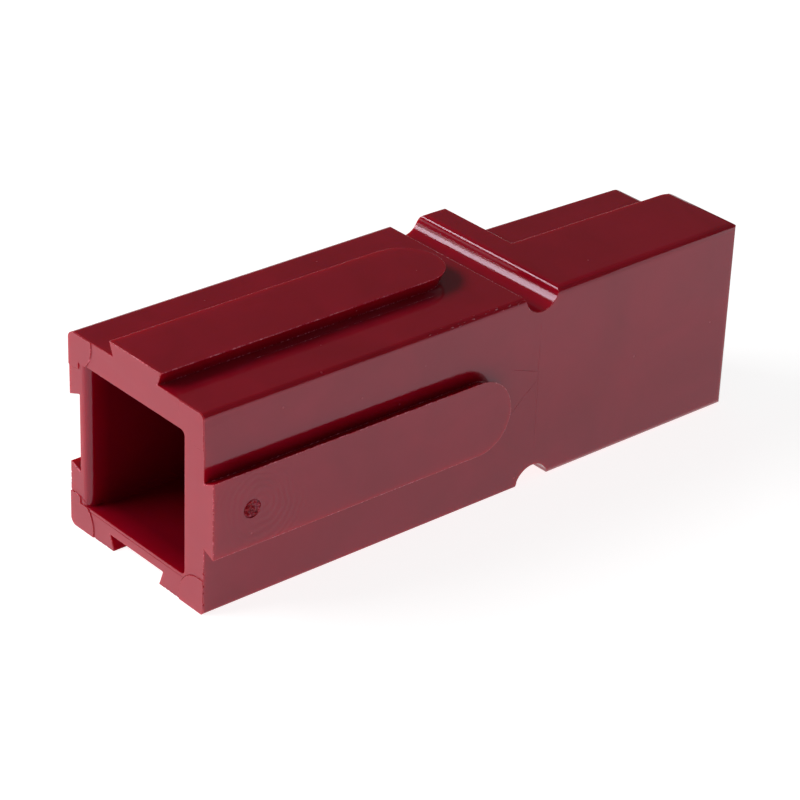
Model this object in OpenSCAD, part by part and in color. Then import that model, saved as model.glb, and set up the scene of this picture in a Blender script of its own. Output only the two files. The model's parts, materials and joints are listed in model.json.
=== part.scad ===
// Genderless single-pole power connector housing with its contact retention spring.
//
// The housing is one square moulding. A cable and its crimped contact go in at one end. At the other end a
// C-shaped hood stands beside a contact tongue, so a second housing of the same shape, turned half round
// about the vertical axis, mates with it: each tongue slides into the other housing's hood. Dovetail rails on
// two faces and matching slots on the two opposite faces stack housings side by side, and half-round
// grooves above and below take the cross pins that lock a stack.
//
// The housing is drawn with its cable end at x = 0, its centre plane at y = 0 and its underside at z = 0.
// The hood is on the -y side and the tongue on the +y side. Both pieces are then moved so that the origin
// is under the middle of the whole part. Lengths are in millimetres and angles in degrees.

/* [Body] */
// Length from the cable end to the end of the hood
length = 79.5; // [77:0.5:84]
// Width and height of the square body, and so the spacing of stacked housings
pitch = 24.5; // [24:0.1:27]
// Thickness of the walls round the cable cavity and on the outside of the hood
wall = 3.35; // [3:0.05:3.7]
// Radius along the soft long edges, on the tongue side and all round the hood
edge_r = 1; // [0.5:0.1:1.5]
// Radius along the crisp lower long edge, on the hood side of the cable half
crisp_r = 0.4; // [0.2:0.1:0.8]
// Radius along the upper long edge on that side, where the mould parts
parting_r = 0.7; // [0.4:0.1:1]

/* [Cable cavity] */
// Depth of the full-width cavity that holds the cable and the contact's crimp barrel
cavity_depth = 41; // [36:0.5:42]
// Length of the funnel that leads from the cavity to the contact passage
funnel_len = 4; // [3:0.5:5]
// Radius in the cavity's four long corners
cavity_r = 0.7; // [0.3:0.1:1.5]
// Radius of the lead-in at the cavity's mouth, on the tongue side
lead_in_r = 1; // [0.5:0.1:1.2]

/* [Dovetails] */
// Height of a rail above its face
rail_h = 1.65; // [1.3:0.05:1.8]
// Width of a rail where it meets its face
rail_foot_w = 8; // [7:0.1:9]
// How much wider a rail grows on each side by its outer face
rail_flare = 0.7; // [0.4:0.05:1]
// Length of a rail, from the cable end to the tip of its round end
rail_len = 42.3; // [38:0.1:43]
// Clearance between a rail and the slot of the housing beside it
slot_gap = 0.2; // [0.1:0.05:0.3]

/* [Pin grooves] */
// Diameter of the half-round groove that shares a cross pin with the next housing
pin_d = 5.2; // [4.6:0.1:5.6]
// Depth of a groove
groove_depth = 2.25; // [1.8:0.05:2.4]
// Distance of the grooves from the cable end
pin_x = 47.8; // [47.5:0.1:48.2]
// Radius of a groove's lip on the mating side
lip_r = 0.8; // [0.4:0.1:1]

/* [Mating end] */
// Length of the hood, from the collar that the other housing's hood butts against
hood_len = 25.7; // [24.5:0.1:26]
// Thickness of the hood's upper and lower flanges
flange_t = 2.2; // [2:0.05:2.8]
// Clearance between a tongue and the hood that it enters
mate_gap = 0.25; // [0.15:0.05:0.4]
// Distance from the centre plane to the flanges' edges, at the collar
flange_gap = 0.3; // [0.2:0.05:0.5]
// How much further from the centre plane the flanges' edges are at the hood's end
flange_draft = 0.6; // [0:0.1:0.8]
// Radius in plan of the flanges' free corners
flange_corner_r = 2; // [1:0.1:3]
// How far the tongue's nose ends short of the hood's end
tongue_short = 0.1; // [0:0.1:1.5]
// How much closer the tongue's outer face is to the centre plane at its nose than at its root
tongue_draft = 0.6; // [0.2:0.05:0.8]
// How much the tongue narrows above and below from its root to its nose
tongue_side_draft = 0.2; // [0.1:0.05:0.5]
// Radius of the tongue's two long outer edges
tongue_edge_r = 0.6; // [0.3:0.1:1]
// Radius that rounds off the tongue's nose
nose_r = 1.2; // [0.8:0.1:1.5]
// Depth of the pocket behind the collar's face, which clears the other housing's nose
pocket_relief = 0.6; // [0.3:0.1:1]

/* [Contact channel] */
// Thickness of the tongue's outer wall, under the contact and its spring
channel_floor_t = 2.2; // [1.8:0.05:2.4]
// Thickness of the tongue's upper and lower side walls
channel_side_t = 2.3; // [2:0.05:2.8]
// Thickness of the wall that closes the tongue's nose
nose_wall = 2.5; // [2:0.1:3]
// How far the nose wall is cut down, so that the contact's tip can hook over it
nose_drop = 2.9; // [2.4:0.1:3.2]
// Thickness of the bulkhead between the cable cavity and the hood
bulkhead_t = 2.5; // [2:0.1:3]
// Room left for the contact's neck between the bulkhead and the centre plane
neck_room = 2.6; // [2.2:0.1:3]

/* [Retention spring] */
// Thickness of the spring's strip
spring_t = 0.8; // [0.6:0.05:0.9]
// Clearance between the spring's edges and the channel's side walls
spring_side_gap = 0.8; // [0.5:0.1:1.5]
// Height of the spring's crest above the channel's floor
spring_rise = 2.8; // [2:0.1:3]
// How far the spring's tip turns back down from its crest
spring_hook = 1.3; // [0.8:0.1:1.5]
// Clearance between the spring's tip and the nose wall
spring_end_gap = 0.7; // [0.4:0.1:1.2]
// Length of the bridge that holds the spring's tail down
bridge_len = 3.5; // [3:0.1:4.5]
// Thickness of that bridge
bridge_t = 1.2; // [1:0.1:1.5]

/* [Moulding marks] */
// Radius of the ejector pads at the corners of the cable end
ejector_r = 3.5; // [2.5:0.1:4]
// How far an ejector pad's centre is from the two sides nearest it
ejector_inset = 0.8; // [0.5:0.1:1.5]
// How far the ejector pads stand proud
ejector_proud = 0.12; // [0.05:0.01:0.2]
// Radius of the gate's stub on the side rail
gate_r = 1.2; // [0.8:0.1:1.6]
// Distance of the gate from the cable end
gate_x = 5.2; // [3:0.1:8]
// How far the gate's stub stands proud
gate_proud = 0.12; // [0.05:0.01:0.2]

/* [Hidden] */

$fn = 64;
// Steps in a quarter turn of a rounded corner
arc_steps = 6;
// How far a cut runs past a face
over = 1;

housing_colour = [0.62, 0.02, 0.06];
spring_colour = [0.78, 0.78, 0.8];

half = pitch / 2;
mid_z = pitch / 2;
cavity_half = half - wall;

// Where the collar's mating face, the hood's pocket and the tongue's nose are
collar_x = length - hood_len;
pocket_x = collar_x - pocket_relief;
bulkhead_x = pocket_x - bulkhead_t;
nose_x = length - tongue_short;

// The tongue fits the hood of another housing: its root is a clearance smaller than the hood's pocket
pocket_half_z = mid_z - flange_t;
tongue_half_z = pocket_half_z - mate_gap;
tongue_near_y = flange_gap;
tongue_far_y = cavity_half - mate_gap;
tongue_tip_half_z = tongue_half_z - tongue_side_draft;
tongue_tip_y = tongue_far_y - tongue_draft;

// The channel along the tongue, for the contact's blade with the spring under it
floor_y = tongue_tip_y - channel_floor_t;
channel_half_z = tongue_tip_half_z - channel_side_t;
channel_end_x = nose_x - nose_wall;
funnel_x = cavity_depth + funnel_len;

// The spring's tail, its crest and its tip
bridge_x = funnel_x + over;
tail_x = bridge_x - over;
rise_x = bridge_x + bridge_len;
spring_tip_x = channel_end_x - spring_end_gap;
crest_x = spring_tip_x - 2 * spring_rise;
spring_half_z = channel_half_z - spring_side_gap;

// ---- Outlines and extrusions ----

function unit(v) = v / norm(v);
function flat(c) = [c[0], c[1]];

// The points of a closed outline whose corners [x, y, r] are each rounded to the radius r
function rounded(corners) = [
    for (i = [0 : len(corners) - 1])
        let (
            corner = flat(corners[i]),
            r = corners[i][2],
            to_last = unit(flat(corners[(i + len(corners) - 1) % len(corners)]) - corner),
            to_next = unit(flat(corners[(i + 1) % len(corners)]) - corner),
            angle = acos(to_last * to_next),
            centre = corner + unit(to_last + to_next) * r / sin(angle / 2),
            start = corner + to_last * r / tan(angle / 2) - centre,
            end = corner + to_next * r / tan(angle / 2) - centre,
            turn = 180 - angle
        )
        each r == 0
            ? [corner]
            : [for (k = [0 : arc_steps])
                let (part = turn * k / arc_steps)
                centre + (start * sin(turn - part) + end * sin(part)) / sin(turn)]
];

// Extrudes a (y, z) section along x, an (x, z) outline along y, or an (x, y) plan along z
module along_x(from, to) {
    translate([from, 0, 0]) rotate([90, 0, 90]) linear_extrude(to - from) children();
}

module along_y(from, to) {
    translate([0, to, 0]) rotate([90, 0, 0]) linear_extrude(to - from) children();
}

module along_z(from, to) {
    translate([0, 0, from]) linear_extrude(to - from) children();
}

// ---- Outside of the housing ----

// The cable half of the body, with crisp edges on the hood side
module cable_half() {
    along_x(0, pin_x)
        polygon(rounded([
            [-half, 0, crisp_r],
            [half, 0, edge_r],
            [half, pitch, edge_r],
            [-half, pitch, parting_r],
        ]));
}

// The collar between the pin grooves and the mating end, soft all round
module collar() {
    along_x(pin_x, collar_x)
        polygon(rounded([
            [-half, 0, edge_r],
            [half, 0, edge_r],
            [half, pitch, edge_r],
            [-half, pitch, edge_r],
        ]));
}

// The hood before its pocket is cut: a block on the -y side with drafted edges towards the tongue
module hood_block() {
    flange_tip_y = -flange_gap - flange_draft;
    intersection() {
        along_x(collar_x, length)
            polygon(rounded([
                [-half, 0, edge_r],
                [0, 0, 0],
                [0, pitch, 0],
                [-half, pitch, edge_r],
            ]));
        along_y(-half, 0)
            polygon(rounded([
                [collar_x, 0, 0],
                [length, 0, edge_r],
                [length, pitch, edge_r],
                [collar_x, pitch, 0],
            ]));
        along_z(0, pitch)
            polygon(rounded([
                [collar_x, -half, 0],
                [length, -half, edge_r],
                [length, flange_tip_y, flange_corner_r],
                [collar_x, -flange_gap, 0],
            ]));
    }
}

// A (y, z) section of the tongue, for the given far side and half height
module tongue_section(far_y, half_z) {
    polygon(rounded([
        [tongue_near_y, mid_z - half_z, 0],
        [far_y, mid_z - half_z, tongue_edge_r],
        [far_y, mid_z + half_z, tongue_edge_r],
        [tongue_near_y, mid_z + half_z, 0],
    ]));
}

// The tongue before its channel is cut: a loft from its root to a nose that rounds off to its end
module tongue_block() {
    slice = 0.01;
    hull() {
        along_x(collar_x - slice, collar_x)
            tongue_section(tongue_far_y, tongue_half_z);
        for (a = [0 : 90 / arc_steps : 90]) {
            x = nose_x - nose_r + nose_r * sin(a);
            shrink = nose_r * (1 - cos(a));
            along_x(x - slice, x)
                tongue_section(tongue_tip_y - shrink, tongue_tip_half_z - shrink);
        }
    }
}

// A dovetail along x that stands on z = 0, widens upwards and ends in a half cone at its tip
module dovetail(foot_w, top_w, height, tip_x, root) {
    straight_end = tip_x - top_w / 2;
    along_x(-root, straight_end)
        polygon([
            [-foot_w / 2, -root],
            [foot_w / 2, -root],
            [foot_w / 2, 0],
            [top_w / 2, height],
            [-top_w / 2, height],
            [-foot_w / 2, 0],
        ]);
    translate([straight_end, 0, 0])
        rotate([0, 0, -90])
            rotate_extrude(angle = 180)
                polygon([
                    [0, -root],
                    [foot_w / 2, -root],
                    [foot_w / 2, 0],
                    [top_w / 2, height],
                    [0, height],
                ]);
}

// Stands its children on one of the four long faces: up the +z face, or turned by 90 degrees a step
module on_face(turn) {
    translate([0, 0, mid_z]) rotate([turn, 0, 0]) translate([0, 0, half]) children();
}

module rail() {
    intersection() {
        dovetail(rail_foot_w, rail_foot_w + 2 * rail_flare, rail_h, rail_len, over);
        translate([0, -pitch, -over]) cube([length, 2 * pitch, pitch]);
    }
}

// Cut for the rail of the next housing, sunk into a face
module rail_slot() {
    mirror([0, 0, 1])
        dovetail(
            rail_foot_w + 2 * slot_gap,
            rail_foot_w + 2 * (rail_flare + slot_gap),
            rail_h + slot_gap,
            rail_len + slot_gap,
            over
        );
}

// Cut for half of a cross pin, across the top face. Its lip on the mating side is rounded.
module pin_groove() {
    pin_r = pin_d / 2;
    axis_z = pitch + pin_r - groove_depth;
    lip_z = pitch - lip_r;
    lip_x = pin_x + sqrt(pow(pin_r + lip_r, 2) - pow(axis_z - lip_z, 2));
    lip_start = atan2(axis_z - lip_z, pin_x - lip_x);
    along_y(-half - over, half + over) {
        translate([pin_x, axis_z]) circle(pin_r);
        polygon([
            [pin_x, axis_z],
            for (k = [0 : arc_steps])
                let (a = lip_start + (90 - lip_start) * k / arc_steps)
                [lip_x, lip_z] + lip_r * [cos(a), sin(a)],
            [lip_x, pitch + over],
            [pin_x, pitch + over],
        ]);
    }
}

// Low round pads left by the ejector pins in the corners of the cable end
module ejector_pads() {
    reach = half - ejector_inset;
    intersection() {
        along_x(-ejector_proud, over)
            polygon(rounded([
                [-half, 0, crisp_r],
                [half, 0, edge_r],
                [half, pitch, edge_r],
                [-half, pitch, parting_r],
            ]));
        along_x(-ejector_proud, over)
            for (y = [-reach, reach], z = [mid_z - reach, mid_z + reach])
                translate([y, z]) circle(ejector_r);
    }
}

// The stub that the gate leaves on the side rail
module gate_stub() {
    translate([gate_x, 0, 0]) cylinder(h = rail_h + gate_proud, r = gate_r);
}

// ---- Inside of the housing ----

// The square cavity for the cable and the crimp barrel, with its lead-in on the tongue side
module cable_cavity() {
    along_x(-over, cavity_depth)
        polygon(rounded([
            [-cavity_half, mid_z - cavity_half, cavity_r],
            [cavity_half, mid_z - cavity_half, cavity_r],
            [cavity_half, mid_z + cavity_half, cavity_r],
            [-cavity_half, mid_z + cavity_half, cavity_r],
        ]));
    along_z(mid_z - cavity_half, mid_z + cavity_half)
        polygon(rounded([
            [-over, cavity_half - over, 0],
            [2 * lead_in_r, cavity_half - over, 0],
            [2 * lead_in_r, cavity_half, 0],
            [0, cavity_half, lead_in_r],
            [0, cavity_half + 1.5 * lead_in_r, 0],
            [-over, cavity_half + 1.5 * lead_in_r, 0],
        ]));
}

// The funnel, the passage for the contact's neck and the channel along the tongue, all in one
module contact_passage() {
    start_x = cavity_depth - over;
    intersection() {
        along_z(0, pitch)
            polygon([
                [start_x, -cavity_half],
                [bulkhead_x, -cavity_half],
                [bulkhead_x, -neck_room],
                [channel_end_x, -neck_room],
                [channel_end_x, floor_y],
                [funnel_x, floor_y],
                [cavity_depth, cavity_half],
                [start_x, cavity_half],
            ]);
        along_y(-half, half)
            polygon([
                [start_x, mid_z - cavity_half],
                [cavity_depth, mid_z - cavity_half],
                [funnel_x, mid_z - channel_half_z],
                [channel_end_x, mid_z - channel_half_z],
                [channel_end_x, mid_z + channel_half_z],
                [funnel_x, mid_z + channel_half_z],
                [cavity_depth, mid_z + cavity_half],
                [start_x, mid_z + cavity_half],
            ]);
    }
    // The nose wall, cut down for the contact's tip
    translate([channel_end_x - over, -over, mid_z - channel_half_z])
        cube([nose_wall + 2 * over, over + tongue_near_y + nose_drop, 2 * channel_half_z]);
}

// The pocket inside the hood that takes the other housing's tongue
module hood_pocket() {
    inner_r = 0.5;
    along_x(pocket_x, length + over)
        polygon(rounded([
            [-cavity_half, mid_z - pocket_half_z, inner_r],
            [tongue_near_y, mid_z - pocket_half_z, 0],
            [tongue_near_y, mid_z + pocket_half_z, 0],
            [-cavity_half, mid_z + pocket_half_z, inner_r],
        ]));
}

// The bridge across the channel that holds down the spring's tail
module spring_bridge() {
    translate([bridge_x, floor_y - spring_t - bridge_t, mid_z - channel_half_z - over])
        cube([bridge_len, bridge_t, 2 * (channel_half_z + over)]);
}

// ---- Pieces ----

// Moves what is drawn in the housing's frame to the part's frame
module in_place() {
    translate([-(length - ejector_proud) / 2, (rail_h + gate_proud) / 2, 0]) children();
}

// The moulded housing
module housing() {
    color(housing_colour) in_place() {
        difference() {
            union() {
                cable_half();
                collar();
                hood_block();
                tongue_block();
                ejector_pads();
                on_face(0) rail();
                on_face(90) rail();
                on_face(90) gate_stub();
            }
            on_face(180) rail_slot();
            on_face(270) rail_slot();
            pin_groove();
            translate([0, 0, pitch]) mirror([0, 0, 1]) pin_groove();
            cable_cavity();
            contact_passage();
            hood_pocket();
        }
        spring_bridge();
    }
}

// Height of the spring's underside above the channel's floor, at the distance x from the cable end
function spring_lift(x) =
    x < rise_x ? 0
    : x < crest_x ? (spring_rise - spring_t) * (1 - cos(180 * (x - rise_x) / (crest_x - rise_x))) / 2
    : spring_rise - spring_t - spring_hook * (1 - cos(90 * (x - crest_x) / (spring_tip_x - crest_x)));

// The leaf spring that presses the contact's blade towards the centre plane
module retention_spring() {
    steps = 24;
    stations = [tail_x, for (k = [0 : steps]) rise_x + (spring_tip_x - rise_x) * k / steps];
    color(spring_colour) in_place()
        along_z(mid_z - spring_half_z, mid_z + spring_half_z)
            polygon(concat(
                [for (x = stations) [x, floor_y - spring_lift(x)]],
                [for (i = [len(stations) - 1 : -1 : 0])
                    [stations[i], floor_y - spring_lift(stations[i]) - spring_t]]
            ));
}

housing();
retention_spring();
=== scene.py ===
"""Looks of the genderless power connector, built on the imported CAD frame. Lengths are in metres."""

import json
import math
import random

import bmesh
import bpy
from mathutils import Matrix, Vector, noise

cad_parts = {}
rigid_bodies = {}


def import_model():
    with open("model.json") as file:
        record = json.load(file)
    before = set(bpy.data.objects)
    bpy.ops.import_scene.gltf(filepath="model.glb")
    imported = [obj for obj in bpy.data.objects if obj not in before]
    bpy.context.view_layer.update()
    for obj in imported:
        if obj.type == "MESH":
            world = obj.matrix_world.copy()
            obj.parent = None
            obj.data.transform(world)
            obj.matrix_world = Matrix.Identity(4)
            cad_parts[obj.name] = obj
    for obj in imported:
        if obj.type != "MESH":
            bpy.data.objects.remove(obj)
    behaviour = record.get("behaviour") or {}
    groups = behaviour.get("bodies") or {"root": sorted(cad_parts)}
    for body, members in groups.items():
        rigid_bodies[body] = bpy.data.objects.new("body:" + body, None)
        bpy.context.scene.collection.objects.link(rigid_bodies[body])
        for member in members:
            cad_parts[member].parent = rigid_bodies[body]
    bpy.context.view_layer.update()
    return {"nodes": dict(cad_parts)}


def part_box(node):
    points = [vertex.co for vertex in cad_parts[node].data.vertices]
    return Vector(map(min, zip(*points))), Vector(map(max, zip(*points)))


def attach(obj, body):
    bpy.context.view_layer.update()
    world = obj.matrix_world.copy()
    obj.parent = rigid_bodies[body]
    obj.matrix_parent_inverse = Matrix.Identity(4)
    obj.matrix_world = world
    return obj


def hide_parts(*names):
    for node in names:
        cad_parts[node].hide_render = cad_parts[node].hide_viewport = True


MM = 0.001

# Camera: where it looks from, round the part, and the point it aims at
CAM_AZIMUTH = -41.38          # degrees; 0 looks along +Y
CAM_ELEVATION = 28.46
CAM_ROLL = 2.29
CAM_DISTANCE = 350.0 * MM
CAM_AIM = Vector((-2.62, 0.17, 9.29)) * MM
CAM_LENS = 136.3              # mm
CAM_SENSOR = 36.0             # mm
CAM_NEAR = 0.01
CAM_FAR = 10.0

# Studio; the lamp's direction goes from +X towards +Y
LAMP_DIRECTION = 140          # degrees
LAMP_ELEVATION = 36
LAMP_DISTANCE = 0.75
LAMP_SIZE = (0.56, 0.24)
LAMP_LEVEL = 0.58             # 1 shows a colour as written on a face turned to the lamp
FLOOR_FLAT = 0.9              # radius of the flat floor
FLOOR_SWEEP = 0.5             # the floor curves up beyond that
FLOOR_RISE = 0.30
FLOOR_RINGS = (0.05, 0.1, 0.2, 0.4, 0.65, FLOOR_FLAT)
FLOOR_SPOKES = 96
SWEEP_STEPS = 12
SWEEP_TURN = 7.0              # degrees a step
FLOOR_SEEN = 0.86             # the floor's glow for the camera and reflections, on top of its lit colour
FLOOR_LIFT = 0.45             # its glow for everything else, which lights the part softly from below
WORLD_LEVEL = 0.10            # the dim room above the white floor

# Housing features that the details line up with (same sizes as the CAD)
PROUD = 0.12 * MM             # ejector pads and the gate stand this far out
BODY_H = 24.5 * MM
RAIL_H = 1.65 * MM
GATE_X = 5.2 * MM             # gate, from the cable end
GATE_R = 1.2 * MM
PIN_X = 47.8 * MM             # middle of the pin groove
PAD_R = 3.5 * MM              # ejector pads in the corners of the cable end
PAD_INSET = 0.8 * MM
WALL = 3.35 * MM              # around the cable cavity
RAIL_HALF = 4.7 * MM          # half the width of a rail's outer face
SLOT_HALF = 4.2 * MM          # half the width of the bottom slot's mouth
CABLE_LEN = 45.2 * MM         # the cable half, up to the pin groove
TOP_ROUND = 0.7 * MM          # radius of the side's upper edge

# Marks that the mould leaves; a cut is given as half its width and its depth
CLEAR = 0.5 * MM              # how far a cutter reaches out past the face
STEP_DROP = 0.76 * MM         # the parting step lies this far below the top
STEP_DEPTH = 0.09 * MM
STEP_RUN = 1.3 * MM           # and runs out over this much further down
STEP_OFF = 0.004 * MM         # there the cutter stands this far off the face
STEP_FADE = 20.5              # its depth fades over this many stations
STEP_STATION = 2 * MM
STEP_STOP = 4 * MM            # it stops this far before the pin groove
INSERT_DROP = 0.34 * MM       # the core's line below the cavity's floor
INSERT_CUT = (0.09 * MM, 0.18 * MM)
SEAM_INSET = 3.2 * MM         # where the seam across the side starts and ends
SEAM_CUT = (0.035 * MM, 0.022 * MM)
# Round the lower ejector pads: side, from and to in degrees, and the cut
PAD_RINGS = ((1, 96, 186, 0.10 * MM, 0.20 * MM), (-1, 12, 84, 0.07 * MM, 0.12 * MM))
# Points along each flow line on the side, in mm from the cable end and from the underside
FLOW_LINES = (((43.8, 16.0), (47.7, 14.6)), ((44.0, 10.4), (45.9, 12.1), (47.8, 13.5)))
FLOW_CUT = (0.04 * MM, 0.03 * MM)
GATE_PIT = 0.3 * MM           # how deep the torn gate's pits reach
GATE_HOLE = 0.94              # radius of the hole it stands in, as a share of GATE_R
TORN_RIM = 0.78               # where the torn gate's wall is highest, as a share of its radius
TORN_RIM_HALF = 0.22          # and half the wall's width
FIN_SINK = 0.02 * MM          # how far the foot of a fin reaches into the face
FIN_LEAST = 0.004 * MM        # a fin's height where it is torn away
RAIL_END = 37.0 * MM          # the rails' flash stops here, just before their round ends
FLASH_HALF = 0.045 * MM       # half the width of a fin's foot on the rails
END_HALF = 0.07 * MM          # and at the cable end
END_HEIGHT = 0.10 * MM
SPECK_COUNT = 26              # torn specks on the side's upper edge
SPECK_REACH = 17              # mm along the edge, back from the pin groove
SPECK_CROWDING = 1.4          # above 1 they gather near the groove

# Colours of the plastic, linear
RED = (0.43, 0.0025, 0.019, 1)
RED_DEEP = (0.36, 0.0015, 0.014, 1)
# paler red: real for the dust specks, a painted sheen on the trimmed end face
RED_PALE = (0.52, 0.035, 0.060, 1)
# pale pink: painted edge glow and highlight on the rounded edges, stress paleness on the flash and torn gate
RED_WEAR_AND_GLOW = (0.95, 0.20, 0.30, 1)
# painted shade: the darker red laid on the cavity walls, where little light reaches
RED_CAVITY_PAINTED_SHADE = (0.17, 0.0008, 0.009, 1)
RED_TORN = (0.40, 0.006, 0.02, 1)
PLASTIC_IOR = 1.54
PLASTIC_ROUGH = 0.10

# Moulded edges
WELD = 0.03 * MM              # points closer than this are one, in the CAD node's mesh
EDGE_R = 0.11 * MM
EDGE_ANGLE = 28.0             # degrees; a softer edge is not rounded
EDGE_MIN = 1.5 * MM           # shorter edges keep their own form, unless they are part of an arc
ARC_TURN = math.cos(math.radians(20))
CAD_FLAT = 0.5                # degrees; faces of the CAD that turn less than this become one
CUT_FLAT = 0.4                # and the same after the cut
STRAIGHT_ON = 2.8             # radians; past this the next edge carries straight on
NOTHING = 1e-9
SHARP_ANGLE = 50.0            # edges that stay sharper than this are shaded as edges
JOIN = 0.0003 * MM            # points closer than this are one, after the cut
ROOM_SHARE = 0.42             # an edge round takes at most this share of the edges that end at it


def clear_scene():
    for o in list(bpy.data.objects):
        bpy.data.objects.remove(o)


def new_object(name, mesh, material=None):
    obj = bpy.data.objects.new(name, mesh)
    bpy.context.scene.collection.objects.link(obj)
    if material:
        mesh.materials.clear()
        mesh.materials.append(material)
    return obj


def mesh_from(bm, name):
    mesh = bpy.data.meshes.new(name)
    bm.to_mesh(mesh)
    bm.free()
    return mesh


def ring_faces(bm, centre, loops):
    """Faces from a centre point out through rings that have the same number of points."""
    count = len(loops[0])
    for i in range(count):
        j = (i + 1) % count
        bm.faces.new((centre, loops[0][i], loops[0][j]))
        for a, b in zip(loops, loops[1:]):
            bm.faces.new((a[i], b[i], b[j], a[j]))


X = Vector((1, 0, 0))
Y = Vector((0, 1, 0))
Z = Vector((0, 0, 1))


class Places:
    """Where the housing's faces are, from the CAD node's own box."""

    def __init__(self):
        low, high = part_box("housing")
        self.cable_x = low.x + PROUD
        self.rail_y = low.y + PROUD
        self.near_y = self.rail_y + RAIL_H
        self.far_y = self.near_y + BODY_H
        self.mid_y = (self.near_y + self.far_y) / 2
        self.top_z = high.z - RAIL_H
        self.mid_z = self.top_z / 2
        self.half = BODY_H / 2
        self.gate = Vector((self.cable_x + GATE_X, self.rail_y, self.mid_z))


# ---------------------------------------------------------------- materials

class Nodes:
    """A short way to write a shader: add nodes and link them by name."""

    def __init__(self, name):
        self.material = bpy.data.materials.new(name)
        self.material.use_nodes = True
        self.tree = self.material.node_tree
        self.shader = self.tree.nodes["Principled BSDF"]

    def add(self, kind, **inputs):
        node = self.tree.nodes.new(kind)
        for key, value in inputs.items():
            if key in node.bl_rna.properties:
                setattr(node, key, value)
            else:
                self.put(node, key, value)
        return node

    def put(self, node, key, value):
        """key is an input's name with _ for its spaces, or i and the input's number."""
        by_number = key[0] == "i" and key[1:].isdigit()
        slot = node.inputs[int(key[1:]) if by_number else key.replace("_", " ")]
        if isinstance(value, bpy.types.NodeSocket):
            self.tree.links.new(value, slot)
        else:
            slot.default_value = value

    def coords(self, scale=(1, 1, 1)):
        """Object coordinates in millimetres, stretched by scale."""
        tex = self.add("ShaderNodeTexCoord")
        mapping = self.add("ShaderNodeMapping", Vector=tex.outputs["Object"])
        mapping.inputs["Scale"].default_value = [s / MM for s in scale]
        return mapping.outputs[0]

    def noise(self, vector, scale, detail=3.0, rough=0.5, distort=0.0):
        return self.add("ShaderNodeTexNoise", Vector=vector, Scale=scale, Detail=detail,
                        Roughness=rough, Distortion=distort).outputs["Fac"]

    def math(self, op, a, b=0.0, c=0.0):
        return self.add("ShaderNodeMath", operation=op, i0=a, i1=b, i2=c).outputs[0]

    def remap(self, value, low, high, to_low=0.0, to_high=1.0):
        node = self.add("ShaderNodeMapRange", Value=value)
        for key, v in zip(("From Min", "From Max", "To Min", "To Max"), (low, high, to_low, to_high)):
            node.inputs[key].default_value = v
        return node.outputs[0]

    def mix(self, factor, a, b):
        node = self.add("ShaderNodeMix", data_type="RGBA")
        self.put(node, "i0", factor)
        self.put(node, "i6", a)
        self.put(node, "i7", b)
        return node.outputs[2]

    def bump(self, height, distance, strength=1.0, normal=None):
        node = self.add("ShaderNodeBump", Height=height, Distance=distance, Strength=strength)
        if normal is not None:
            self.put(node, "Normal", normal)
        return node.outputs[0]

    def separate(self, p):
        return self.add("ShaderNodeSeparateXYZ", Vector=p).outputs

    def off(self, value, middle):
        """How far value is from middle."""
        return self.math("ABSOLUTE", self.math("SUBTRACT", value, middle))

    def product(self, a, b):
        return self.math("MULTIPLY", a, b)

    def translucent(self, weight, radius, scale):
        """Light that sinks in and comes out red, as in dyed plastic."""
        s = self.shader.inputs
        s["IOR"].default_value = PLASTIC_IOR
        s["Subsurface Weight"].default_value = weight
        s["Subsurface Radius"].default_value = radius
        s["Subsurface Scale"].default_value = scale


def near_cable_end(n, p, at):
    """1 on the trimmed end face, 0 past its edge."""
    end = at.cable_x / MM
    return n.remap(n.separate(p)[0], end + 0.16, end + 0.06)


def cavity_painted_shade(n, p, at):
    """1 on the walls inside the cable cavity, where the colour is darkened as painted shade."""
    xyz = n.separate(p)
    across = n.math("MAXIMUM", n.off(xyz[1], at.mid_y / MM), n.off(xyz[2], at.mid_z / MM))
    inner = (at.half - WALL) / MM
    depth = n.remap(xyz[0], at.cable_x / MM + 0.3, at.cable_x / MM + 3.0)
    return n.product(n.remap(across, inner + 0.3, inner + 0.1), depth)


def gate_swirl(n, p, at):
    """Faint flow rings in the skin round the gate, on the side rail only."""
    drift = n.add("ShaderNodeTexNoise", Vector=p, Scale=0.22, Detail=2.0).outputs["Color"]
    wander = n.add("ShaderNodeVectorMath", operation="SCALE", i0=drift)
    wander.inputs["Scale"].default_value = 2.6
    moved = n.add("ShaderNodeVectorMath", operation="ADD", i0=p, i1=wander.outputs[0])
    away = n.add("ShaderNodeVectorMath", operation="DISTANCE", i0=moved.outputs[0])
    away.inputs[1].default_value = at.gate / MM + Vector((2.4, 1.3, 1.3))
    waves = n.math("SINE", n.product(away.outputs["Value"], 7.5))
    rail = at.rail_y / MM
    side = n.remap(n.separate(p)[1], rail + 0.2, rail + 0.1)
    reach = n.remap(away.outputs["Value"], 8.5, 3.0)
    return n.bump(n.product(waves, n.product(side, reach)), 0.014 * MM, 0.8)


def handled_skin(n, p, under):
    """Fine pebble, slow waves from cooling, and patches of hair scratches."""
    scratch_a = n.noise(n.coords((0.06, 0.9, 2.3)), 1.0, 2, 0.5, 0.4)
    scratch_b = n.noise(n.coords((0.5, 2.1, 0.12)), 1.1, 2, 0.5, 0.5)
    lines = n.math("ADD", n.remap(n.off(scratch_a, 0.5), 0.004, 0.0),
                   n.remap(n.off(scratch_b, 0.52), 0.003, 0.0))
    worn = n.remap(n.noise(p, 0.13, 3, 0.5), 0.52, 0.66)
    skin = n.bump(n.noise(p, 3.2, 3, 0.6), 0.004 * MM, 0.5, under)
    wave = n.bump(n.noise(p, 0.16, 2, 0.5), 0.02 * MM, 0.5, skin)
    return n.bump(n.product(lines, worn), -0.003 * MM, 0.5, wave)


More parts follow.
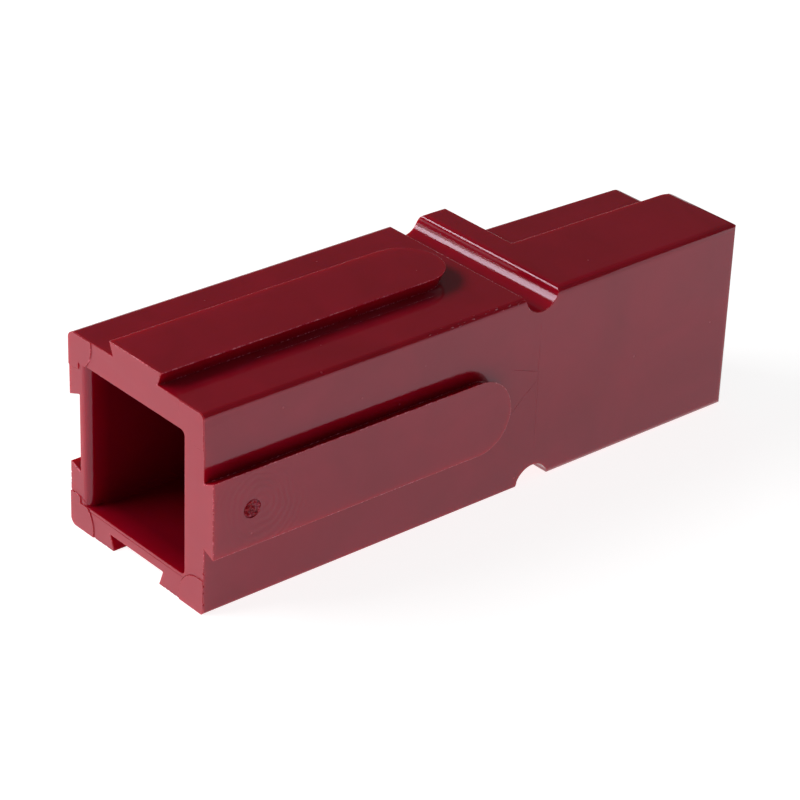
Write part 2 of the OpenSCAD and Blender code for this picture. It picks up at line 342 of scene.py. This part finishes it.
def dust(n, p):
    """Rare round specks."""
    cell = n.add("ShaderNodeTexVoronoi", Vector=p, Scale=0.55, Randomness=1.0)
    spot = n.remap(cell.outputs["Distance"], 0.10, 0.055)
    pick = n.add("ShaderNodeSeparateColor", Color=cell.outputs["Color"]).outputs[0]
    return n.product(spot, n.remap(pick, 0.90, 0.905))


def moulded_plastic(name, at, rough):
    """Dyed thermoplastic; the trimmed end is duller with a paler painted sheen, and the cavity is darkened
    with painted shade.
    """
    n = Nodes(name)
    p = n.coords()
    speck = dust(n, p)
    end = near_cable_end(n, p, at)
    drift = n.remap(n.noise(p, 0.09, 4, 0.55, 0.6), 0.35, 0.68)
    colour = n.mix(drift, RED, RED_DEEP)
    colour = n.mix(n.product(speck, 0.55), colour, RED_PALE)
    # painted sheen: the trimmed end face is paled, standing in for the brighter light and reflection it
    # catches; its dullness below is real roughness
    colour = n.mix(n.product(end, 0.6), colour, RED_PALE)
    # the cavity walls are darkened here as painted shade
    n.put(n.shader, "Base_Color", n.mix(n.product(cavity_painted_shade(n, p, at), 0.75), colour, RED_CAVITY_PAINTED_SHADE))
    haze = n.remap(n.noise(p, 0.22, 5, 0.6, 0.3), 0.3, 0.7, rough - 0.03, rough + 0.05)
    smear = n.remap(n.noise(n.coords((0.05, 1.0, 1.0)), 1.3, 4, 0.65), 0.55, 0.75, 0.0, 0.05)
    dull = n.math("MAXIMUM", n.product(speck, 0.3), n.product(end, 0.22))
    n.put(n.shader, "Roughness", n.math("ADD", n.math("ADD", haze, smear), dull))
    n.put(n.shader, "Normal", handled_skin(n, p, gate_swirl(n, p, at)))
    n.shader.inputs["Specular Tint"].default_value = (0.95, 0.84, 1.0, 1)
    n.translucent(0.6, (1.0, 0.06, 0.05), 2.5 * MM)
    return n.material


def glow_and_wear_edge(name, red, worn, shine=0.5):
    """The thin rounded edges, flash and torn gate, paler in patches and specks: on the rounded edges this is
    a painted edge glow and highlight, on the flash and torn gate it is stressed plastic.
    """
    n = Nodes(name)
    p = n.coords()
    patch = n.remap(n.noise(p, 0.35, 3, 0.6), 0.42, 0.62)
    fleck = n.remap(n.noise(p, 2.2, 3, 0.65), 0.50, 0.62)
    pale = n.product(patch, n.remap(fleck, 0, 1, 0.25, 1.0))
    # the pale patches are painted glow and highlight where this material sits on the rounded edges
    n.put(n.shader, "Base_Color", n.mix(pale, red, worn))
    n.put(n.shader, "Roughness", n.remap(fleck, 0.0, 1.0, 0.22, 0.42))
    n.put(n.shader, "Normal", n.bump(n.noise(p, 3.0, 2, 0.6), 0.02 * MM, 0.7))
    n.shader.inputs["Specular IOR Level"].default_value = shine
    n.translucent(0.5, (1.0, 0.08, 0.08), 1.5 * MM)
    return n.material


def spring_steel():
    """Rolled strip: fine grain along its length over a bright grey, with a few dull patches."""
    n = Nodes("spring_steel_strip")
    grain = n.noise(n.coords((0.15, 14.0, 14.0)), 1.0, 3, 0.6)
    patch = n.noise(n.coords(), 0.35, 4, 0.55)
    n.put(n.shader, "Base_Color", n.mix(patch, (0.60, 0.59, 0.57, 1), (0.47, 0.465, 0.46, 1)))
    n.put(n.shader, "Roughness", n.remap(grain, 0.3, 0.7, 0.24, 0.40))
    n.put(n.shader, "Normal", n.bump(grain, 0.006 * MM, 0.5))
    n.shader.inputs["Metallic"].default_value = 1.0
    return n.material


def floor_white():
    """A white sheet lit from behind, with the part's soft shadow; FLOOR_LIFT lights the part from below."""
    n = Nodes("studio_white")
    path = n.add("ShaderNodeLightPath")
    seen = n.math("MAXIMUM", n.math("MAXIMUM", path.outputs["Is Camera Ray"], path.outputs["Is Glossy Ray"]),
                  path.outputs["Is Transmission Ray"])
    grain = n.noise(n.coords(), 0.02, 3)
    n.put(n.shader, "Base_Color", n.mix(grain, (0.60, 0.60, 0.60, 1), (0.59, 0.59, 0.59, 1)))
    n.shader.inputs["Roughness"].default_value = 1.0
    n.shader.inputs["Specular IOR Level"].default_value = 0.0
    glow = n.add("ShaderNodeEmission", Color=(1, 1, 1, 1))
    n.put(glow, "Strength", n.remap(seen, 0.0, 1.0, FLOOR_LIFT, FLOOR_SEEN))
    both = n.add("ShaderNodeAddShader")
    n.put(both, "i0", n.shader.outputs[0])
    n.put(both, "i1", glow.outputs[0])
    n.put(n.tree.nodes["Material Output"], "Surface", both.outputs[0])
    return n.material


# ---------------------------------------------------------------- housing shell

def edge_room(edge, rounded):
    """How wide this edge's round can be before it meets the next feature, in metres."""
    room = EDGE_R
    for face in edge.link_faces:
        for v in edge.verts:
            other = next(e for e in face.edges if e is not edge and v in e.verts)
            a = edge.other_vert(v).co - v.co
            b = other.other_vert(v).co - v.co
            if min(a.length, b.length) < NOTHING:
                return 0.0
            angle = a.angle(b)
            if other in rounded:
                room = min(room, ROOM_SHARE * min(a.length, b.length) * math.tan(angle / 2))
            else:
                room = min(room, ROOM_SHARE * b.length * math.sin(angle) + (angle > STRAIGHT_ON) * EDGE_R)
    return room


def flatten_gate(bm):
    """The plain round stub goes back to the rail's face, where the torn one stands."""
    low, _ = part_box("housing")
    for v in bm.verts:
        if v.co.y < low.y + 0.5 * PROUD:
            v.co.y = low.y + PROUD


def rounded_edges(bm):
    """Edges that the mould leaves round: the long ones, and the short ones that carry on along an arc."""
    corner = {e for e in bm.edges if len(e.link_faces) == 2 and e.calc_length() > 0.2 * EDGE_MIN
              and e.calc_face_angle(0) > math.radians(EDGE_ANGLE)}

    def way(edge, v):
        return (edge.other_vert(v).co - v.co).normalized()

    def carries_on(edge, v):
        others = [e for e in v.link_edges if e in corner and e is not edge]
        return any(way(e, v).dot(-way(edge, v)) > ARC_TURN for e in others)
    return {e for e in corner if e.calc_length() > EDGE_MIN or all(carries_on(e, v) for v in e.verts)}


def weighted_cad_mesh(node):
    """A copy of the CAD node with whole flat faces, and how much of EDGE_R each edge can take."""
    bm = bmesh.new()
    bm.from_mesh(node.data)
    bmesh.ops.remove_doubles(bm, verts=bm.verts, dist=WELD)
    flatten_gate(bm)
    bmesh.ops.dissolve_limit(bm, angle_limit=math.radians(CAD_FLAT), verts=bm.verts, edges=bm.edges)
    weight = bm.edges.layers.float.new("bevel_weight_edge")
    rounded = rounded_edges(bm)
    for e in rounded:
        e[weight] = edge_room(e, rounded) / EDGE_R
    return mesh_from(bm, "housing_shell")


def housing_shell(node, cutter, material, edge_material):
    """The CAD node's shape with the small edge rounds and witness marks that a mould leaves."""
    obj = new_object("housing_shell", weighted_cad_mesh(node), material)
    obj.data.materials.append(edge_material)
    bevel = obj.modifiers.new("edges", "BEVEL")
    bevel.limit_method = "WEIGHT"
    bevel.width = EDGE_R
    # the rounds take the edge material, whose pale patches are a painted edge glow
    bevel.material = 1
    bevel.segments = 2
    bevel.use_clamp_overlap = False
    bevel.miter_outer = "MITER_PATCH"
    add_triangles(obj)
    bake_modifiers(obj)
    cut = obj.modifiers.new("witness_marks", "BOOLEAN")
    cut.object = cutter
    cut.solver = "EXACT"
    cut.use_self = True
    bake_modifiers(obj)
    bpy.data.objects.remove(cutter)
    join_flat_faces(obj.data)
    normals = obj.modifiers.new("normals", "WEIGHTED_NORMAL")
    normals.mode = "FACE_AREA"
    normals.weight = 90
    normals.keep_sharp = True
    add_triangles(obj)
    bake_modifiers(obj)
    return obj


def add_triangles(obj):
    tri = obj.modifiers.new("triangles", "TRIANGULATE")
    tri.min_vertices = 5
    tri.ngon_method = "CLIP"
    tri.keep_custom_normals = True


def join_flat_faces(mesh):
    """Whole flat faces again, so that each keeps its own normal, and sharp edges where none is rounded."""
    bm = bmesh.new()
    bm.from_mesh(mesh)
    bmesh.ops.remove_doubles(bm, verts=bm.verts, dist=JOIN)
    bmesh.ops.dissolve_degenerate(bm, edges=bm.edges, dist=JOIN)
    bmesh.ops.dissolve_limit(bm, angle_limit=math.radians(CUT_FLAT), verts=bm.verts, edges=bm.edges,
                             delimit={"MATERIAL"})
    for e in bm.edges:
        e.smooth = len(e.link_faces) == 2 and e.calc_face_angle(0) < math.radians(SHARP_ANGLE)
    for f in bm.faces:
        f.smooth = True
    bm.to_mesh(mesh)
    bm.free()


def bake_modifiers(obj):
    for poly in obj.data.polygons:
        poly.use_smooth = True
    bpy.context.view_layer.update()
    graph = bpy.context.evaluated_depsgraph_get()
    mesh = bpy.data.meshes.new_from_object(obj.evaluated_get(graph), depsgraph=graph)
    obj.modifiers.clear()
    obj.data = mesh


# ---------------------------------------------------------------- moulding marks

class Marks:
    """Collects thin solids into one mesh; most are swept along points that lie on a face."""

    def __init__(self):
        self.bm = bmesh.new()

    def sweep(self, points, normal, profile):
        """profile(i) gives the section at point i as (sideways, out) pairs, in metres."""
        rings = []
        for i, p in enumerate(points):
            ahead = points[min(i + 1, len(points) - 1)] - points[max(i - 1, 0)]
            side = ahead.normalized().cross(normal).normalized()
            rings.append([self.bm.verts.new(p + side * u + normal * v) for u, v in profile(i)])
        count = len(rings[0])
        for a, b in zip(rings, rings[1:]):
            for k in range(count):
                self.bm.faces.new((a[k], a[(k + 1) % count], b[(k + 1) % count], b[k]))
        self.bm.faces.new(reversed(rings[0]))
        self.bm.faces.new(rings[-1])

    def nick(self, spot, along, size):
        """A small diamond that bites into the edge at spot."""
        ends = [self.bm.verts.new(spot + along * k) for k in (-1, 1)]
        across = along.normalized().cross(X) * size
        ring = [self.bm.verts.new(spot + q) for q in (across, X * size, -across, -X * size)]
        for a, b in zip(ring, ring[1:] + ring[:1]):
            for end in ends:
                self.bm.faces.new((a, b, end)).material_index = 1

    def groove(self, points, normal, width, depth):
        """A V cut whose depth fades at both ends."""
        last = len(points) - 1

        def section(i):
            d = depth * min(1.0, 0.25 + 4.0 * min(i, last - i) / last)
            return [(-width, depth), (0, -d), (width, depth)]
        self.sweep(points, normal, section)

    def fin(self, points, normal, width, height, seed, keep=0.0):
        """A ragged little wall of flash; keep is the share of its height that never drops away."""
        def section(i):
            p = points[i] / MM
            wave = 0.5 + 0.9 * noise.noise(p * 1.7 + Vector((seed, 0, 0))) + 0.5 * noise.noise(p * 6.1)
            h = height * (keep + (1 - keep) * max(0.0, min(1.0, wave)))
            return [(-width, -FIN_SINK), (0, max(h, FIN_LEAST)), (width, -FIN_SINK)]
        self.sweep(points, normal, section)

    def done(self, name, material=None):
        bmesh.ops.recalc_face_normals(self.bm, faces=self.bm.faces)
        return new_object(name, mesh_from(self.bm, name), material)


def line(a, b, step=0.3 * MM):
    a, b = Vector(a), Vector(b)
    count = max(3, int((b - a).length / step))
    return [a.lerp(b, i / count) for i in range(count + 1)]


def arc(centre, u, v, radius, start, end, count=28):
    return [centre + u * radius * math.cos(t) + v * radius * math.sin(t)
            for t in (math.radians(start + (end - start) * i / count) for i in range(count + 1))]


def ragged_corner(marks, at):
    """Small torn nicks along the lower outer edges of the cable end, with the paler edge material."""
    rng = random.Random(12)
    far, near = at.far_y, at.near_y
    runs = ((far, 1.2 * MM, far, 7.0 * MM, 8), (far - 1.0 * MM, 0, far - 7.0 * MM, 0, 6),
            (near + 0.8 * MM, 0, near + 7.2 * MM, 0, 10), (near, 1.0 * MM, near, 6.6 * MM, 5))
    for y0, z0, y1, z1, count in runs:
        for i in range(count):
            share = (i + rng.uniform(0.25, 0.75)) / count
            spot = Vector((at.cable_x, y0 + (y1 - y0) * share, z0 + (z1 - z0) * share))
            along = (Vector((0, y1 - y0, z1 - z0)).normalized()) * rng.uniform(0.12, 0.26) * MM
            marks.nick(spot, along, rng.uniform(0.10, 0.22) * MM)


def parting_step(marks, at):
    """A shallow step under the side's upper edge, which fades out before the pin groove."""
    z = at.top_z - STEP_DROP
    end_x = at.cable_x + CABLE_LEN - STEP_STOP

    def section(i):
        depth = STEP_DEPTH * (1 - i / STEP_FADE)
        return [(0, CLEAR), (0, -depth), (STEP_RUN, STEP_OFF), (STEP_RUN, CLEAR)]
    marks.sweep(line((at.cable_x - CLEAR, at.near_y, z), (end_x, at.near_y, z), STEP_STATION), -Y, section)


def insert_lines(marks, at):
    """Where the mould's core and its lower ejectors met the cable end."""
    floor_z = WALL - INSERT_DROP
    cavity = at.half - WALL
    marks.groove(line((at.cable_x, at.mid_y - cavity + 0.2 * MM, floor_z),
                      (at.cable_x, at.mid_y + cavity, floor_z)), -X, *INSERT_CUT)
    reach = at.half - PAD_INSET
    for side, start, end, width, depth in PAD_RINGS:
        pad = Vector((at.cable_x - 0.02 * MM, at.mid_y + side * reach, at.mid_z - reach))
        marks.groove(arc(pad, Y, Z, PAD_R + 0.05 * MM, start, end), -X, width, depth)


def flow_marks(marks, at):
    """The seam across the side at the pin groove, and lines where the plastic met past the rail."""
    x = at.cable_x + PIN_X
    marks.groove(line((x, at.near_y, at.top_z - SEAM_INSET), (x, at.near_y, SEAM_INSET)), -Y, *SEAM_CUT)
    for path in FLOW_LINES:
        spots = [Vector((at.cable_x + x * MM, at.near_y, z * MM)) for x, z in path]
        for a, b in zip(spots, spots[1:]):
            marks.groove(line(a, b, 0.4 * MM), -Y, *FLOW_CUT)


def gate_pit(marks, at):
    """A round hole for the torn gate to stand in; the cutter reaches as far out as it goes in."""
    radius = GATE_R * GATE_HOLE
    turns = [k * math.pi / 12 for k in range(24)]
    circle = [(radius * math.cos(t), radius * math.sin(t)) for t in turns]
    marks.sweep([at.gate - Y * GATE_PIT, at.gate + Y * GATE_PIT], X, lambda i: circle)


def witness_cutter(at):
    """Everything that the mould and its trimming leave sunk, as one set of cutters."""
    marks = Marks()
    parting_step(marks, at)
    insert_lines(marks, at)
    flow_marks(marks, at)
    gate_pit(marks, at)
    ragged_corner(marks, at)
    return marks.done("witness_cutter")


def rail_flash(marks, at):
    """Fins along one edge of each rail, and a hair line on the top face beside the rail."""
    start = at.cable_x
    end = at.cable_x + RAIL_END
    y = at.rail_y + 0.03 * MM
    z = at.mid_z + RAIL_HALF - 0.01 * MM
    marks.fin(line((start + 1 * MM, y, z), (end, y, z)), Z, FLASH_HALF, 0.07 * MM, 3)
    y = at.mid_y - RAIL_HALF + 0.01 * MM
    z = at.top_z + RAIL_H - 0.06 * MM
    marks.fin(line((start + 0.4 * MM, y, z), (end, y, z)), -Y, FLASH_HALF, 0.06 * MM, 11, 0.3)
    marks.fin(line((start + 12 * MM, at.mid_y - 5.35 * MM, at.top_z),
                   (start + 37.5 * MM, at.mid_y - 5.4 * MM, at.top_z)), Z, 0.03 * MM, 0.04 * MM, 5, 0.7)


def edge_specks(marks, at):
    """Torn specks on the side's upper edge, thickest towards the pin groove."""
    rng = random.Random(7)
    for _ in range(SPECK_COUNT):
        x = at.cable_x + CABLE_LEN - rng.random() ** SPECK_CROWDING * SPECK_REACH * MM
        up = rng.uniform(0.25, 0.95) * math.pi / 2
        spot = Vector((x, at.near_y + TOP_ROUND * (1 - math.cos(up)),
                       at.top_z - TOP_ROUND * (1 - math.sin(up))))
        out = Vector((0, -math.cos(up), math.sin(up)))
        size = rng.uniform(0.04, 0.09) * MM
        along = (X + Vector((0, rng.uniform(-0.5, 0.5), 0))).normalized() * size * rng.uniform(1.0, 3.0)
        marks.fin([spot - along, spot - along * 0.3, spot + along * 0.4, spot + along], out,
                  size * 0.8, size, rng.uniform(0, 50), 0.4)


def end_flash(marks, at):
    """Ragged flash along the lower edges of the cable end."""
    x = at.cable_x + 0.06 * MM
    inset = 0.09 * MM
    under = line((x, at.near_y + 0.5 * MM, inset), (x, at.mid_y - SLOT_HALF, inset), 0.15 * MM)
    beside = line((x, at.far_y - inset, 1.0 * MM), (x, at.far_y - inset, 7.2 * MM), 0.15 * MM)
    for run, seed in ((under, 21), (beside, 31)):
        marks.fin(run, -X, END_HALF, END_HEIGHT, seed)


def edge_flash(at, material):
    """Thin ragged flash along the parting lines, kept inside the part's own box."""
    marks = Marks()
    rail_flash(marks, at)
    edge_specks(marks, at)
    end_flash(marks, at)
    return marks.done("edge_flash", material)


def torn_height(p, share):
    """How far the torn gate stands out at p, where share is the way from its middle to its rim."""
    q = p / MM
    rough = 0.5 + 0.75 * noise.noise(q * 2.6) + 0.45 * noise.noise(q * 6.0 + Vector((9, 0, 0)))
    wall = max(0.0, 1 - abs(share - TORN_RIM) / TORN_RIM_HALF)
    high = max(0.0, min(1.0, 0.35 * wall + rough * (0.9 if share < 0.9 else 0.5)))
    return high * (PROUD + GATE_PIT) - GATE_PIT


def gate_vestige(at, material):
    """The torn stub of the sprue on the side rail: a low crater with a rough rim."""
    bm = bmesh.new()
    rings = 14
    count = 44
    loops = []
    for r in range(1, rings + 1):
        loop = []
        for k in range(count):
            t = 2 * math.pi * k / count
            rim = 1.0 + 0.07 * noise.noise(Vector((math.cos(t) * 1.6, math.sin(t) * 1.6, 4)))
            radius = GATE_R * r / rings * rim
            p = Vector((math.cos(t) * radius, 0, math.sin(t) * radius))
            out = -0.5 * GATE_PIT if r == rings else torn_height(p, r / rings)
            loop.append(bm.verts.new(at.gate + p - Y * out))
        loops.append(loop)
    ring_faces(bm, bm.verts.new(at.gate + Y * 0.05 * MM), loops)
    bm.faces.new(loops[-1])
    bmesh.ops.recalc_face_normals(bm, faces=bm.faces)
    return new_object("gate_vestige", mesh_from(bm, "gate_vestige"), material)


# ---------------------------------------------------------------- studio

def studio_floor():
    """A flat disc whose rim sweeps up low all round."""
    rings = [(r, 0.0) for r in FLOOR_RINGS]
    for i in range(1, SWEEP_STEPS + 1):
        a = math.radians(i * SWEEP_TURN)
        rings.append((FLOOR_FLAT + FLOOR_SWEEP * math.sin(a), FLOOR_RISE * (1 - math.cos(a))))
    turns = [2 * math.pi * i / FLOOR_SPOKES for i in range(FLOOR_SPOKES)]
    bm = bmesh.new()
    centre = bm.verts.new((0, 0, 0))
    loops = [[bm.verts.new((r * math.cos(t), r * math.sin(t), z)) for t in turns] for r, z in rings]
    ring_faces(bm, centre, loops)
    for f in bm.faces:
        f.smooth = True
    return new_object("studio_floor", mesh_from(bm, "studio_floor"), floor_white())


def soft_lamp(name, direction, elevation, distance, size, level):
    """An area lamp aimed at the origin."""
    data = bpy.data.lights.new(name, "AREA")
    data.shape = "RECTANGLE"
    data.size, data.size_y = size
    data.energy = level * math.pi ** 2 * distance ** 2
    lamp = bpy.data.objects.new(name, data)
    a, e = math.radians(direction), math.radians(elevation)
    lamp.location = Vector((math.cos(a) * math.cos(e), math.sin(a) * math.cos(e), math.sin(e))) * distance
    lamp.rotation_mode = "QUATERNION"
    lamp.rotation_quaternion = (-lamp.location).to_track_quat("-Z", "Y")
    bpy.context.scene.collection.objects.link(lamp)


def world_light():
    world = bpy.data.worlds.new("dim_room")
    world.use_nodes = True
    background = world.node_tree.nodes["Background"]
    background.inputs["Color"].default_value = (1, 1, 1, 1)
    background.inputs["Strength"].default_value = WORLD_LEVEL
    bpy.context.scene.world = world


def camera():
    data = bpy.data.cameras.new("camera")
    data.lens = CAM_LENS
    data.sensor_width = CAM_SENSOR
    data.clip_start = CAM_NEAR
    data.clip_end = CAM_FAR
    cam = bpy.data.objects.new("camera", data)
    a, e = math.radians(CAM_AZIMUTH), math.radians(CAM_ELEVATION)
    back = Vector((math.sin(a) * math.cos(e), -math.cos(a) * math.cos(e), math.sin(e)))
    aim = (-back).to_track_quat("-Z", "Y").to_matrix().to_4x4()
    turn = aim @ Matrix.Rotation(math.radians(CAM_ROLL), 4, "Z")
    cam.matrix_world = Matrix.Translation(CAM_AIM + back * CAM_DISTANCE) @ turn
    bpy.context.scene.collection.objects.link(cam)
    bpy.context.scene.camera = cam


# ---------------------------------------------------------------- build

clear_scene()
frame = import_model()
bpy.context.scene.view_settings.view_transform = "Standard"

at = Places()
plastic = moulded_plastic("moulded_plastic", at, PLASTIC_ROUGH)
edges = glow_and_wear_edge("glow_and_wear_edges", RED, RED_WEAR_AND_GLOW)
torn = glow_and_wear_edge("torn_gate", RED_TORN, RED_WEAR_AND_GLOW, 0.2)
shell = housing_shell(frame["nodes"]["housing"], witness_cutter(at), plastic, edges)
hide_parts("housing")
for piece in (shell, edge_flash(at, edges), gate_vestige(at, torn)):
    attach(piece, "root")

spring = frame["nodes"]["retention_spring"]
spring.material_slots[0].material = spring_steel()

studio_floor()
world_light()
soft_lamp("back_left_soft", LAMP_DIRECTION, LAMP_ELEVATION, LAMP_DISTANCE, LAMP_SIZE, LAMP_LEVEL)
camera()
